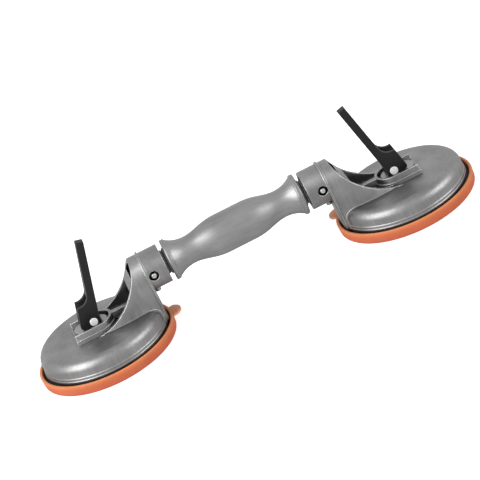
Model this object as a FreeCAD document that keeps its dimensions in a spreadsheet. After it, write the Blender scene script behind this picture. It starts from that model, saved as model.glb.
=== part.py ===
"""Two-cup suction lifter with swivelling heads, in millimetres, +Z up.

The origin is on the floor under the middle of the handle, and +X runs along the handle.
Each head is built once in its own frame: its origin is on the floor under the cup's centre,
and its +X points at the handle. The left head stands at -X; the right one is turned half round.
"""
import FreeCAD, Part
import math
import os
from types import SimpleNamespace
import Sketcher
from FreeCAD import Placement, Rotation, Vector

# ---------------------------------------------------------------- driving sizes
SIZES = {
    # layout
    "cup_spacing": (282.0, "centre to centre of the two cups"),
    "axis_height": (53.0, "handle axis above the floor"),
    # handle
    "grip_radius": (17.2, "thick middle of the grip"),
    "waist_radius": (12.15, "thinnest place of the grip"),
    "waist_setback": (19.5, "from the flange's outer face to the thinnest place"),
    "sweep_radius": (38.0, "arc from the waist towards the middle"),
    "grip_slope": (15.1, "degrees, straight taper between that arc and the middle"),
    "grip_corner": (12.0, "rounding where the taper meets the middle"),
    "flange_radius": (18.3, "hand stop at each end of the grip"),
    "flange_width": (4.2, "its rim"),
    "flange_round": (1.1, "rounding of its rim"),
    "stub_radius": (10.8, "shaft that carries a head"),
    "stub_length": (27.5, "that shaft, from the flange's face"),
    "stub_chamfer": (1.2, "at the shaft's end"),
    # swivel
    "cross_pin_radius": (2.2, "pin through the shaft"),
    "cross_pin_length": (34.8, "over its two ends"),
    "cross_pin_chamfer": (0.4, "at its ends"),
    "pin_setback": (12.6, "from the collar's mouth to the cross pin"),
    "mouth_gap": (3.7, "from the flange's face to the collar's mouth"),
    "bush_width": (14.0, "ball bush, along the shaft"),
    "bush_slot": (8.4, "slot in the bush round the shaft, for the pin's swing"),
    "running_fit": (0.06, "radial clearance of turning and sliding fits"),
    # collar and neck of the head
    "collar_radius": (17.2, "outside of the collar"),
    "collar_length": (17.1, "from the back plate to the mouth"),
    "collar_bore": (13.8, "radius inside the collar"),
    "swing_hole": (4.4, "radius of the oversize hole round the cross pin"),
    "back_overhang": (1.7, "outer face of the back plate beyond the dome's side wall"),
    "plate_thick": (1.5, "back plate"),
    "plate_lip": (1.1, "how far the back plate stands out round the collar"),
    "plate_foot": (9.6, "height of the back plate's lower edge"),
    "foot_overhang": (2.2, "cone that trims the back plate, at its lower edge, beyond the dome's side wall"),
    "neck_front": (9.1, "from the back plate's outer face to the top front corner of the neck"),
    "neck_break": (11.4, "from that face to where the neck's front meets the wings' curve"),
    "neck_break_rise": (11.5, "height of that place above the handle's axis"),
    "bore_depth": (14.2, "from that face to the blind end of the collar's bore"),
    "neck_corner": (2.6, "rounding of the top front corner"),
    "wing_radius": (58.0, "curve of the wings' top edges, from the side"),
    "wing_bulge": (112.0, "curve of the wings' feet, from above"),
    "wing_thick": (2.5, "wall of the wings"),
    "nose_reach": (2.4, "how far the wings end beyond the cup's axis"),
    "nose_half": (19.8, "half of the distance over the wings' feet at their ends"),
    "channel_back": (8.2, "from the back plate's outer face to the back wall of the channel"),
    "boss_front": (19.7, "from that face to the front of the bore's boss, before the curve trims it"),
    # dome of the head
    "dome_radius": (56.0, "side wall of the dome"),
    "dome_height": (27.0, "flat top above the floor"),
    "shoulder_radius": (8.2, "rounding between wall and top"),
    "dome_edge": (8.5, "lower edge above the floor"),
    "bead_depth": (0.45, "each of the two ledges in the side wall"),
    "upper_step": (14.2, "height of the upper step"),
    "lower_step": (11.7, "height of the lower step"),
    "dome_wall": (3.3, "casting wall"),
    "rim_recess": (12.7, "height of the recess that holds the rubber's bead"),
    "rim_width": (2.8, "width of that recess"),
    "ceiling_run": (9.1, "from the recess's outer side to the flat part of the dome's underside"),
    "guide_radius": (8.5, "outside of the post's guide"),
    "guide_end": (20.3, "lower end of the guide"),
    # fork that the lever stands in
    "fork_pad_half": (16.6, "half width of the raised pad"),
    "fork_pad_top": (30.3, "top of the raised pad"),
    "fork_half": (15.2, "half width over the fork's walls"),
    "fork_wall": (2.2, "fork's walls"),
    "fork_top": (35.0, "top of the fork's walls"),
    "fork_centre": (1.2, "centre of the fork's round end"),
    "fork_end": (19.6, "square ends of the fork, beyond the cup's axis"),
    "pad_ledge": (0.8, "pad beyond the fork's square ends"),
    "stem_half": (2.5, "half width of the rib behind the fork"),
    "stem_top": (34.6, "top of that rib"),
    # wear plate
    "wear_top": (32.9, "top of the wear plate"),
    "wear_half": (11.8, "half its width"),
    "wear_outer": (6.9, "centre of its outer round end, beyond the cup's axis"),
    "wear_inner": (0.5, "centre of its inner round end, beyond the cup's axis"),
    "wear_hole": (5.3, "hole for the post"),
    # lever
    "pin_height": (36.9, "lever pin above the floor"),
    "lever_lean": (14.2, "degrees, towards the handle at rest"),
    "lever_length": (70.5, "from the pin to the tip"),
    "lever_width": (16.9, "over the two cheeks"),
    "lever_tip_width": (8.6, "at the tip"),
    "lever_crease": (18.2, "above the pin, where the arm starts to narrow"),
    "crease_slope": (17.5, "degrees, that line on the cheeks falls towards the heel"),
    "grip_face": (5.4, "from the pin to the face towards the handle"),
    "tip_back": (1.5, "from the pin's line to the far face, at the tip"),
    "arm_back": (1.5, "the same at the foot of the arm"),
    "arm_foot": (33.0, "above the pin, where the arm's far face starts to curve"),
    "heel_reach": (11.7, "from the pin to the heel's face"),
    "heel_top": (14.4, "above the pin, the heel's upper corner"),
    "sole_reach": (3.4, "from the pin down to the sole"),
    "cam_radius": (8.0, "rounding between sole and heel"),
    "toe_reach": (6.3, "from the pin to the upright toe face"),
    "lever_slot": (8.6, "between the cheeks"),
    "slot_roof": (6.6, "above the pin, the slot's roof"),
    "tip_round": (1.0, "rounding of the tip"),
    "seat_gap": (0.3, "left between the heel and the wear plate when it is down"),
    # lever pin
    "lever_pin_radius": (2.5, "shank"),
    "pin_head_radius": (3.5, "head and cap"),
    "pin_head_height": (0.7, "head and cap"),
    "spigot_radius": (1.6, "end that the cap is pressed on"),
    "pin_head_chamfer": (0.25, "edge of head and cap"),
    # post, backing plate and spring
    "post_radius": (5.0, "round shank"),
    "post_flat": (8.0, "over the flats between the cheeks"),
    "flat_reach": (12.4, "flats below the pin"),
    "post_spigot": (3.0, "radius of the end riveted into the backing plate"),
    "plate_radius": (29.0, "backing plate"),
    "plate_top": (11.6, "backing plate's top above the floor"),
    "plate_height": (2.2, "backing plate's thickness"),
    "spring_radius": (10.6, "spring's mean radius"),
    "spring_wire": (0.8, "radius of its wire"),
    "spring_turns": (3.0, "number of turns"),
    "soft_gap": (0.3, "left between rubber or spring and its neighbours"),
    # suction pad
    "pad_overhang": (1.1, "rubber beyond the dome's lower edge"),
    "pad_bevel": (1.6, "bevel of its lower edge"),
    "pad_web": (4.3, "thin part of the rubber"),
    "pad_hub": (31.0, "radius of the thick middle"),
    # cover
    "cover_gap": (1.2, "between the rubber and the cover's side wall"),
    "cover_height": (10.0, "rim above the floor"),
    "cover_wall": (3.0, "side wall"),
    "cover_floor": (2.0, "bottom"),
    "cover_foot": (2.3, "rounding of the lower edge"),
    "cover_lip": (0.6, "rounding of the rim"),
    "tab_half": (9.0, "half width of the pull tab"),
    "tab_reach": (8.3, "pull tab beyond the cover's side"),
    "tab_side": (3.0, "straight sides of the pull tab"),
    "tab_thick": (2.0, "pull tab"),
    # set screw
    "screw_radius": (2.5, "set screw under the collar"),
    "screw_setback": (2.7, "from the back plate's outer face to its middle"),
    "screw_recess": (0.4, "left between its upper end and the collar's bore"),
    "screw_length": (6.2, "set screw"),
    "socket_radius": (1.45, "hexagon socket, to its corners"),
    "socket_depth": (2.4, "hexagon socket"),
}
LEFT_TAB_TURN = 2.0      # degrees, where each cover happens to sit
RIGHT_TAB_TURN = -28.5

doc = FreeCAD.newDocument("suction_lifter")
sheet = doc.addObject("Spreadsheet::Sheet", "Sizes")
for row, (alias, (number, meaning)) in enumerate(SIZES.items(), start=1):
    sheet.set(f"A{row}", alias)
    sheet.set(f"B{row}", str(number))
    sheet.set(f"C{row}", meaning)
    sheet.setAlias(f"B{row}", alias)
doc.recompute()


class Size:
    """A number together with the spreadsheet formula that gives it."""

    def __init__(self, value, text):
        self.value = value
        self.text = text

    def __add__(self, other):
        other = as_size(other)
        return Size(self.value + other.value, f"({self.text} + {other.text})")

    def __sub__(self, other):
        other = as_size(other)
        return Size(self.value - other.value, f"({self.text} - {other.text})")

    def __mul__(self, other):
        other = as_size(other)
        return Size(self.value * other.value, f"({self.text} * {other.text})")

    def __truediv__(self, other):
        other = as_size(other)
        return Size(self.value / other.value, f"({self.text} / {other.text})")

    def __neg__(self):
        return Size(-self.value, f"(0 - {self.text})")

    def __radd__(self, other):
        return as_size(other) + self

    def __rsub__(self, other):
        return as_size(other) - self

    def __rmul__(self, other):
        return as_size(other) * self


def as_size(number):
    if isinstance(number, Size):
        return number
    return Size(float(number), repr(float(number)) if number >= 0 else f"(0 - {repr(float(-number))})")


def root(size):
    return Size(math.sqrt(size.value), f"sqrt({size.text})")


def sine(size):
    return Size(math.sin(math.radians(size.value)), f"sin({size.text})")


def cosine(size):
    return Size(math.cos(math.radians(size.value)), f"cos({size.text})")


def tangent(size):
    return Size(math.tan(math.radians(size.value)), f"tan({size.text})")


def hypotenuse_leg(hypotenuse, leg):
    """The other leg of a right-angled triangle."""
    return root(hypotenuse * hypotenuse - leg * leg)


s = SimpleNamespace(**{alias: Size(number, f"Sizes.{alias}") for alias, (number, _) in SIZES.items()})
ZERO = as_size(0)

# sizes that follow from the driving ones
back_face = s.dome_radius + s.back_overhang
mouth = back_face + s.collar_length
pin_place = mouth - s.pin_setback
flange_face = s.cup_spacing / 2 - mouth - s.mouth_gap
cross_pin_x = s.cup_spacing / 2 - pin_place
neck_back = back_face - s.plate_thick
neck_front = back_face - s.neck_front
neck_break = back_face - s.neck_break
neck_break_height = s.axis_height + s.neck_break_rise
channel_back = back_face - s.channel_back
boss_front = back_face - s.boss_front
foot_radius = s.dome_radius + s.foot_overhang
plate_half = s.collar_radius + s.plate_lip
trim_top = s.axis_height + plate_half + s.plate_lip
skirt_radius = s.dome_radius + 2 * s.bead_depth
rim_outer = skirt_radius - s.dome_wall
rim_inner = rim_outer - s.rim_width
pad_radius = skirt_radius + s.pad_overhang
cover_radius = pad_radius + s.cover_gap + s.cover_wall
pad_bottom = s.cover_floor + s.soft_gap
ceiling = s.dome_height - s.dome_wall
lift = s.heel_reach + s.seat_gap - (s.pin_height - s.wear_top)
bush_radius = s.collar_bore - s.running_fit
screw_place = back_face + s.screw_setback

bodies = []


# ---------------------------------------------------------------- drawing helpers
def start_body(label):
    body = doc.addObject("PartDesign::Body", label)
    body.Label = label
    bodies.append(body)
    return body


def sketch_on(body, role, name, height=ZERO):
    """A sketch on one of the body's own planes, lifted along the plane's normal."""
    plane = next(item for item in body.Origin.OriginFeatures if item.Role == role)
    sketch = body.newObject("Sketcher::SketchObject", name)
    sketch.AttachmentSupport = [(plane, "")]
    sketch.MapMode = "FlatFace"
    if height.value:
        sketch.setExpression(".AttachmentOffset.Base.z", height.text)
    return sketch


def tie(sketch, geometry, position, kind, size):
    """Ties one coordinate of a point; kind is DistanceX or DistanceY."""
    if size.value == 0:
        axis = -2 if kind == "DistanceX" else -1
        sketch.addConstraint(Sketcher.Constraint("PointOnObject", geometry, position, axis))
        return
    index = sketch.addConstraint(Sketcher.Constraint(kind, -1, 1, geometry, position, size.value))
    sketch.setExpression(f"Constraints[{index}]", size.text)


def tie_radius(sketch, geometry, radius):
    index = sketch.addConstraint(Sketcher.Constraint("Radius", geometry, radius.value))
    sketch.setExpression(f"Constraints[{index}]", radius.text)


def arc_between(start, end, radius, turn):
    """The arc of a circle from start to end; turn is 1 with the centre on the left, -1 on the right."""
    span = end - start
    half = span.Length / 2
    reach = math.sqrt(max(radius * radius - half * half, 0.0))
    side = Vector(-span.y, span.x, 0).normalize() * turn
    centre = (start + end) / 2 + side * reach
    first, last = (start, end) if turn == 1 else (end, start)
    angles = [math.atan2(point.y - centre.y, point.x - centre.x) for point in (first, last)]
    return Part.ArcOfCircle(Part.Circle(centre, Vector(0, 0, 1), radius), *angles)


def outline(sketch, *corners):
    """A closed outline. A corner is (x, y), reached by a line, or (x, y, radius, turn), by an arc.

    A half circle, whose ends lie level with its centre, is held by its centre and not by its radius.
    """
    corners = [tuple(as_size(item) for item in corner[:3]) + tuple(corner[3:]) for corner in corners]
    points = [Vector(corner[0].value, corner[1].value, 0) for corner in corners]
    ends = []
    for index, corner in enumerate(corners):
        start = points[index - 1]
        end = points[index]
        if len(corner) == 2:
            geometry = sketch.addGeometry(Part.LineSegment(start, end))
            ends.append((geometry, 1, 2))
            continue
        radius, turn = corner[2:]
        geometry = sketch.addGeometry(arc_between(start, end, radius.value, turn))
        if (end - start).Length < 1.9999 * radius.value:
            tie_radius(sketch, geometry, radius)
        elif abs(end.y - start.y) > abs(end.x - start.x):
            tie(sketch, geometry, 3, "DistanceX", corner[0])
        else:
            tie(sketch, geometry, 3, "DistanceY", corner[1])
        ends.append((geometry, 1, 2) if turn == 1 else (geometry, 2, 1))
    for index, corner in enumerate(corners):
        geometry, _, finish = ends[index]
        follower, begin, _ = ends[(index + 1) % len(ends)]
        sketch.addConstraint(Sketcher.Constraint("Coincident", geometry, finish, follower, begin))
        tie(sketch, geometry, finish, "DistanceX", corner[0])
        tie(sketch, geometry, finish, "DistanceY", corner[1])
    doc.recompute()
    if not sketch.FullyConstrained or sketch.Shape.isNull():
        raise RuntimeError(f"{sketch.Label} is not fully constrained")


def circle(sketch, x, y, radius):
    x, y, radius = as_size(x), as_size(y), as_size(radius)
    centre = Vector(x.value, y.value, 0)
    geometry = sketch.addGeometry(Part.Circle(centre, Vector(0, 0, 1), radius.value))
    tie_radius(sketch, geometry, radius)
    tie(sketch, geometry, 3, "DistanceX", x)
    tie(sketch, geometry, 3, "DistanceY", y)


def feature(body, kind, name, profile, **settings):
    """Adds a sketch-based feature; a Size setting is bound to the sheet."""
    item = body.newObject(f"PartDesign::{kind}", name)
    item.Profile = profile
    for key, value in settings.items():
        if isinstance(value, Size):
            setattr(item, key, value.value)
            item.setExpression(key, value.text)
        else:
            setattr(item, key, value)
    profile.Visibility = False
    return item


def pad(body, name, profile, length, **settings):
    return feature(body, "Pad", name, profile, Length=length, **settings)


def revolve(body, name, profile, axis="V_Axis"):
    item = feature(body, "Revolution", name, profile, ReferenceAxis=(profile, [axis]))
    item.Angle = 360
    return item


def cut(body, kind, name, profile, **settings):
    """Adds a cutting feature and makes sure that it takes something away."""
    doc.recompute()
    before = body.Shape.Volume
    item = feature(body, kind, name, profile, **settings)
    doc.recompute()
    if body.Shape.Volume > before - 0.01:
        raise RuntimeError(f"{name} of {body.Label} cuts nothing")
    return item


def edges_where(body, test):
    return [f"Edge{number}" for number, edge in enumerate(body.Tip.Shape.Edges, start=1) if test(edge)]


def dress(body, kind, name, size, test):
    """A fillet or chamfer on the edges that pass the test."""
    doc.recompute()
    base = body.Tip
    names = edges_where(body, test)
    if not names:
        raise RuntimeError(f"{name} of {body.Label} finds no edge")
    item = body.newObject(f"PartDesign::{kind}", name)
    item.Base = (base, names)
    key = "Radius" if kind == "Fillet" else "Size"
    setattr(item, key, size.value)
    item.setExpression(key, size.text)
    doc.recompute()
    return item


def circle_edge(axis, place, radius):
    """A test for a full circle of this radius round a line along axis, at this place along it."""
    def test(edge):
        if not isinstance(edge.Curve, Part.Circle) or abs(edge.Curve.Radius - radius.value) > 1e-3:
            return False
        return abs(abs(edge.Curve.Axis.dot(axis)) - 1) < 1e-6 and abs(edge.Curve.Center.dot(axis) - place.value) < 1e-3
    return test


def lies_at(edge, **places):
    """True if every point of the edge has the given coordinates."""
    points = [edge.valueAt(edge.FirstParameter + share * (edge.LastParameter - edge.FirstParameter))
              for share in (0, 0.37, 0.71, 1)]
    return all(abs(getattr(point, name) - size.value) < 1e-3 for name, size in places.items() for point in points)


# ---------------------------------------------------------------- handle and swivel
def build_handle():
    body = start_body("handle_casting")
    sketch = sketch_on(body, "XZ_Plane", "handle_half_profile")
    waist_x = flange_face - s.waist_setback
    rim_x = flange_face - s.flange_width
    flare_run = s.waist_setback - s.flange_width
    flare_rise = s.flange_radius - s.waist_radius
    flare_radius = (flare_run * flare_run + flare_rise * flare_rise) / (2 * flare_rise)
    sweep_x = waist_x - s.sweep_radius * sine(s.grip_slope)
    sweep_r = s.waist_radius + s.sweep_radius * (1 - cosine(s.grip_slope))
    grip_x = sweep_x - (s.grip_radius - sweep_r) / tangent(s.grip_slope)
    stub_x = flange_face + s.stub_length
    outline(sketch,
            (ZERO, ZERO), (stub_x, ZERO), (stub_x, s.stub_radius), (flange_face, s.stub_radius),
            (flange_face, s.flange_radius), (rim_x, s.flange_radius),
            (waist_x, s.waist_radius, flare_radius, -1),
            (sweep_x, sweep_r, s.sweep_radius, -1),
            (grip_x, s.grip_radius), (ZERO, s.grip_radius))
    half = revolve(body, "handle_half", sketch, "H_Axis")
    mirror = body.newObject("PartDesign::Mirrored", "handle_other_half")
    mirror.Originals = [half]
    mirror.MirrorPlane = (next(item for item in body.Origin.OriginFeatures if item.Role == "YZ_Plane"), [""])
    body.Tip = mirror
    x_axis = Vector(1, 0, 0)
    rim_edges = [circle_edge(x_axis, side * place, s.flange_radius)
                 for side in (1, -1) for place in (flange_face, rim_x)]
    dress(body, "Fillet", "flange_rounding", s.flange_round, lambda edge: any(test(edge) for test in rim_edges))
    corners = [circle_edge(x_axis, side * grip_x, s.grip_radius) for side in (1, -1)]
    dress(body, "Fillet", "grip_rounding", s.grip_corner, lambda edge: any(test(edge) for test in corners))
    ends = [circle_edge(x_axis, side * stub_x, s.stub_radius) for side in (1, -1)]
    dress(body, "Chamfer", "stub_chamfers", s.stub_chamfer, lambda edge: any(test(edge) for test in ends))
    holes = sketch_on(body, "XZ_Plane", "cross_pin_holes")
    circle(holes, cross_pin_x, ZERO, s.cross_pin_radius)
    circle(holes, -cross_pin_x, ZERO, s.cross_pin_radius)
    cut(body, "Pocket", "cross_pin_bores", holes, Type="ThroughAll", Midplane=True)
    body.setExpression(".Placement.Base.z", s.axis_height.text)


def chamfered_pin(body, radius, length, chamfer, role):
    """A round pin centred on the body's origin, across the plane."""
    sketch = sketch_on(body, role, f"{body.Label}_round")
    circle(sketch, ZERO, ZERO, radius)
    pad(body, f"{body.Label}_shank", sketch, length, Midplane=True)
    dress(body, "Chamfer", f"{body.Label}_chamfers", chamfer, lambda edge: isinstance(edge.Curve, Part.Circle))


def build_cross_pin(head):
    body = start_body(f"{head.name}_cross_pin")
    chamfered_pin(body, s.cross_pin_radius, s.cross_pin_length, s.cross_pin_chamfer, "XZ_Plane")
    head.place(body, x=pin_place, z=s.axis_height)


def build_swivel_bush(head):
    body = start_body(f"{head.name}_swivel_bush")
    sketch = sketch_on(body, "XZ_Plane", "bush_profile")
    half = s.bush_width / 2
    inner = s.stub_radius + s.running_fit
    edge = hypotenuse_leg(bush_radius, half)
    outline(sketch, (-half, inner), (half, inner), (half, edge), (-half, edge, bush_radius, 1))
    revolve(body, "bush_ball", sketch, "H_Axis")
    slot = sketch_on(body, "XZ_Plane", "bush_slot_outline")
    side = s.cross_pin_radius + s.running_fit
    tall = s.bush_slot / 2
    outline(slot, (-side, -tall), (side, -tall), (side, tall), (-side, tall))
    cut(body, "Pocket", "bush_pin_slots", slot, Type="ThroughAll", Midplane=True)
    head.place(body, x=pin_place, z=s.axis_height)


# ---------------------------------------------------------------- head casting
def build_dome(body):
    sketch = sketch_on(body, "XZ_Plane", "dome_profile")
    ledge = s.dome_radius + s.bead_depth
    outline(sketch,
            (ZERO, s.dome_edge), (ledge, s.dome_edge), (skirt_radius, s.dome_edge + s.bead_depth),
            (skirt_radius, s.lower_step - s.bead_depth), (ledge, s.lower_step),
            (ledge, s.upper_step - s.bead_depth), (s.dome_radius, s.upper_step),
            (s.dome_radius, s.dome_height - s.shoulder_radius),
            (s.dome_radius - s.shoulder_radius, s.dome_height, s.shoulder_radius, 1),
            (ZERO, s.dome_height))
    revolve(body, "dome", sketch)


def neck_plan(body, name, half_back, half_nose, back, nose, height, bulge=None):
    """The neck from above, at one height: as wide as the collar at the back, with bulged or straight sides."""
    plan = sketch_on(body, "XY_Plane", name, height)
    curve = () if bulge is None else (bulge, 1)
    outline(plan,
            (back, -half_back, *curve), (back, half_back), (-nose, half_nose, *curve), (-nose, -half_nose))
    return plan


def build_neck(body):
    """The neck's sides lean in from their feet to the collar's width; it is hollowed and trimmed to its curve."""
    low = neck_plan(body, "neck_foot_plan", s.collar_radius, s.nose_half, neck_back, s.nose_reach,
                    s.plate_foot, s.wing_bulge)
    pad(body, "neck_foot", low, s.dome_height - s.plate_foot)
    outer_low = neck_plan(body, "neck_plan", s.collar_radius, s.nose_half, neck_back, s.nose_reach,
                          s.dome_height, s.wing_bulge)
    outer_high = neck_plan(body, "neck_top_plan", s.collar_radius, s.collar_radius, neck_back, s.nose_reach,
                           s.axis_height)
    feature(body, "AdditiveLoft", "neck_walls", outer_low, Sections=[outer_high], Ruled=True)

    inner_half = s.collar_radius - s.wing_thick
    inner_nose = s.nose_reach + s.wing_thick
    inner_low = neck_plan(body, "channel_plan", inner_half, s.nose_half - s.wing_thick, channel_back, inner_nose,
                          s.dome_height, s.wing_bulge - s.wing_thick)
    inner_high = neck_plan(body, "channel_top_plan", inner_half, inner_half, channel_back, inner_nose,
                           s.axis_height)
    cut(body, "SubtractiveLoft", "channel", inner_low, Sections=[inner_high], Ruled=True)

    boss = sketch_on(body, "YZ_Plane", "boss_round", boss_front)
    circle(boss, ZERO, s.axis_height, s.collar_radius)
    pad(body, "bore_boss", boss, neck_back - boss_front)

    side = sketch_on(body, "XZ_Plane", "neck_side_outline")
    top = s.axis_height + s.collar_radius
    lean = (neck_front - neck_break) / (top - neck_break_height)
    face = root(1 + lean * lean)
    before = -s.nose_reach - s.wing_thick
    outline(side,
            (-s.nose_reach, s.dome_height), (neck_break, neck_break_height, s.wing_radius, 1),
            (neck_front - s.neck_corner * lean / face, top - s.neck_corner / face),
            (neck_front + s.neck_corner, top, s.neck_corner / (face - lean), -1),
            (neck_front + s.neck_corner, trim_top), (before, trim_top), (before, s.dome_height))
    cut(body, "Pocket", "neck_side_trim", side, Type="ThroughAll", Midplane=True)


def build_collar(body):
    """The back plate, its foot trimmed to the dome's roundness, and then the collar that stands on it."""
    plate = sketch_on(body, "YZ_Plane", "back_plate_outline", neck_back)
    outline(plate,
            (-plate_half, s.plate_foot), (plate_half, s.plate_foot), (plate_half, s.axis_height),
            (-plate_half, s.axis_height, plate_half, 1))
    pad(body, "back_plate", plate, s.plate_thick)
    cone = sketch_on(body, "XZ_Plane", "foot_cone_profile")
    corner = root(back_face * back_face + plate_half * plate_half)
    outline(cone,
            (foot_radius, s.dome_edge), (corner + s.plate_thick, s.dome_edge),
            (corner + s.plate_thick, s.axis_height), (corner, s.axis_height))
    cut(body, "Groove", "foot_trim", cone, ReferenceAxis=(cone, ["V_Axis"]), Angle=360)
    round_collar = sketch_on(body, "YZ_Plane", "collar_round", back_face)
    circle(round_collar, ZERO, s.axis_height, s.collar_radius)
    pad(body, "collar", round_collar, s.collar_length)


def build_fork(body):
    """Raised pad, U-shaped wall round the wear plate and the rib behind it."""
    pad_plan = sketch_on(body, "XY_Plane", "fork_pad_plan", s.dome_height - s.pad_ledge)
    ledge = -s.fork_end - s.pad_ledge
    outline(pad_plan,
            (ledge, -s.fork_pad_half), (s.fork_centre, -s.fork_pad_half),
            (s.fork_centre, s.fork_pad_half, s.fork_pad_half, 1), (ledge, s.fork_pad_half))
    pad(body, "fork_pad", pad_plan, s.fork_pad_top - s.dome_height + s.pad_ledge)
    wall = sketch_on(body, "XY_Plane", "fork_wall_plan", s.fork_pad_top)
    inner = s.fork_half - s.fork_wall
    outline(wall,
            (-s.fork_end, -s.fork_half), (s.fork_centre, -s.fork_half),
            (s.fork_centre, s.fork_half, s.fork_half, 1), (-s.fork_end, s.fork_half),
            (-s.fork_end, inner), (s.fork_centre, inner), (s.fork_centre, -inner, inner, -1),
            (-s.fork_end, -inner))
    pad(body, "fork_walls", wall, s.fork_top - s.fork_pad_top)
    stem = sketch_on(body, "XY_Plane", "stem_plan", s.dome_height - s.pad_ledge)
    near = s.fork_centre + s.fork_half - s.fork_wall / 2
    outline(stem,
            (near, -s.stem_half), (neck_back, -s.stem_half), (neck_back, s.stem_half), (near, s.stem_half))
    pad(body, "fork_stem", stem, s.stem_top - s.dome_height + s.pad_ledge)


def build_underside(body):
    hollow = sketch_on(body, "XZ_Plane", "hollow_profile")
    below = s.dome_edge - s.dome_wall
    outline(hollow,
            (s.guide_radius, below), (rim_outer, below), (rim_outer, s.rim_recess),
            (rim_inner, s.rim_recess), (rim_inner, s.rim_recess + s.dome_wall),
            (rim_outer - s.ceiling_run, ceiling), (s.guide_radius, ceiling))
    cut(body, "Groove", "hollow", hollow, ReferenceAxis=(hollow, ["V_Axis"]), Angle=360)
    under_guide = sketch_on(body, "XZ_Plane", "under_guide_profile")
    outline(under_guide,
            (ZERO, below), (s.guide_radius, below), (s.guide_radius, s.guide_end),
            (ZERO, s.guide_end))
    cut(body, "Groove", "under_guide", under_guide, ReferenceAxis=(under_guide, ["V_Axis"]), Angle=360)


def build_head_bores(body):
    bore = sketch_on(body, "YZ_Plane", "collar_bore_round", mouth)
    circle(bore, ZERO, s.axis_height, s.collar_bore)
    cut(body, "Pocket", "collar_bore", bore, Type="Length", Length=s.collar_length + s.bore_depth)
    hole = sketch_on(body, "XZ_Plane", "swing_hole_round")
    circle(hole, pin_place, s.axis_height, s.swing_hole)
    cut(body, "Pocket", "swing_hole", hole, Type="ThroughAll", Midplane=True)
    guide = sketch_on(body, "XY_Plane", "guide_round")
    circle(guide, ZERO, ZERO, s.post_radius + s.running_fit)
    cut(body, "Pocket", "guide_bore", guide, Type="ThroughAll", Midplane=True)
    screw = sketch_on(body, "XY_Plane", "screw_round", s.axis_height)
    circle(screw, screw_place, ZERO, s.screw_radius)
    cut(body, "Pocket", "screw_hole", screw, Type="Length", Length=plate_half)


def build_head_casting(head):
    body = start_body(f"{head.name}_head_casting")
    build_dome(body)
    build_neck(body)
    build_collar(body)
    build_underside(body)
    build_fork(body)
    build_head_bores(body)
    head.place(body)


# ---------------------------------------------------------------- small pieces of a head
def build_wear_plate(head):
    body = start_body(f"{head.name}_wear_plate")
    plan = sketch_on(body, "XY_Plane", "wear_plan", s.fork_pad_top)
    outline(plan,
            (-s.wear_outer, -s.wear_half, s.wear_half, 1), (-s.wear_inner, -s.wear_half),
            (-s.wear_inner, s.wear_half, s.wear_half, 1), (-s.wear_outer, s.wear_half))
    pad(body, "wear_slab", plan, s.wear_top - s.fork_pad_top)
    hole = sketch_on(body, "XY_Plane", "wear_hole_round")
    circle(hole, ZERO, ZERO, s.wear_hole)
    cut(body, "Pocket", "wear_post_hole", hole, Type="ThroughAll", Midplane=True)
    head.place(body)


def build_set_screw(head):
    body = start_body(f"{head.name}_set_screw")
    sketch = sketch_on(body, "XY_Plane", "screw_plan")
    circle(sketch, ZERO, ZERO, s.screw_radius)
    pad(body, "screw_shank", sketch, s.screw_length)
    socket = sketch_on(body, "XY_Plane", "socket_plan")
    corners = [(s.socket_radius * math.cos(math.pi * step / 3), s.socket_radius * math.sin(math.pi * step / 3))
               for step in range(6)]
    outline(socket, *corners)
    cut(body, "Pocket", "screw_socket", socket, Type="Length", Length=s.socket_depth, Reversed=True)
    screw_end = s.axis_height - s.collar_bore - s.screw_recess - s.screw_length
    head.place(body, x=screw_place, z=screw_end)


def build_pull_post(head):
    body = start_body(f"{head.name}_pull_post")
    round_part = sketch_on(body, "XY_Plane", "post_round", s.plate_top)
    circle(round_part, ZERO, ZERO, s.post_radius)
    pad(body, "post_shank", round_part, s.pin_height + s.post_radius - s.plate_top)
    spigot = sketch_on(body, "XY_Plane", "post_spigot_round", s.plate_top - s.plate_height)
    circle(spigot, ZERO, ZERO, s.post_spigot)
    pad(body, "post_spigot", spigot, s.plate_height)
    sides = sketch_on(body, "YZ_Plane", "post_sides")
    low = s.pin_height - s.flat_reach
    flat = s.post_flat / 2
    far = s.post_radius + flat
    high = s.pin_height + far
    outline(sides, (flat, low), (far, low), (far, high), (flat, high))
    outline(sides, (-flat, low), (-flat, high), (-far, high), (-far, low))
    cut(body, "Pocket", "post_flats", sides, Type="ThroughAll", Midplane=True)
    eye = sketch_on(body, "XZ_Plane", "eye_outline")
    outline(eye,
            (s.post_radius, s.pin_height, s.post_radius, -1), (far, s.pin_height), (far, high),
            (-far, high), (-far, s.pin_height), (-s.post_radius, s.pin_height))
    cut(body, "Pocket", "eye_rounding", eye, Type="ThroughAll", Midplane=True)
    hole = sketch_on(body, "XZ_Plane", "eye_hole_round")
    circle(hole, ZERO, s.pin_height, s.lever_pin_radius + s.running_fit)
    cut(body, "Pocket", "eye_hole", hole, Type="ThroughAll", Midplane=True)
    head.place(body)


def build_pad_plate(head):
    body = start_body(f"{head.name}_pad_plate")
    plan = sketch_on(body, "XY_Plane", "plate_plan", s.plate_top - s.plate_height)
    circle(plan, ZERO, ZERO, s.plate_radius)
    circle(plan, ZERO, ZERO, s.post_spigot)
    pad(body, "plate_disc", plan, s.plate_height)
    dress(body, "Chamfer", "plate_edge", s.pin_head_height,
          circle_edge(Vector(0, 0, 1), s.plate_top, s.plate_radius))
    head.place(body)


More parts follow.
